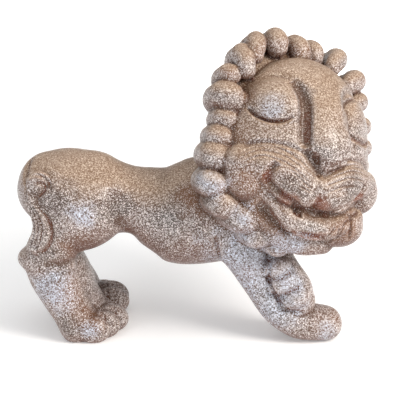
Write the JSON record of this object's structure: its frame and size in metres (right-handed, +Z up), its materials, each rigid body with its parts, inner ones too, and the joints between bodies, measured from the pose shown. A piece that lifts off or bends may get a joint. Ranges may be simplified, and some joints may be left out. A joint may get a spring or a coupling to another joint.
{
  "type": "lion figurine",
  "caption": "Striding ceramic lion with a big head turned to the side, a ring of round mane locks, closed eyes and one forepaw laid on the other foot.",
  "frame": {"origin": "middle of the footprint's bounding box, at the soles", "axes": "+X along the body from the rump to the chest, +Y towards the lion's left flank, +Z up; the face looks towards -Y and +X"},
  "size_m": [0.2918, 0.1482, 0.2476],
  "materials": {
    "glaze": "glossy brown glaze with a dense pale speckle"
  },
  "bodies": {
    "root": {"lion": "glaze"}
  },
  "joints": []
}
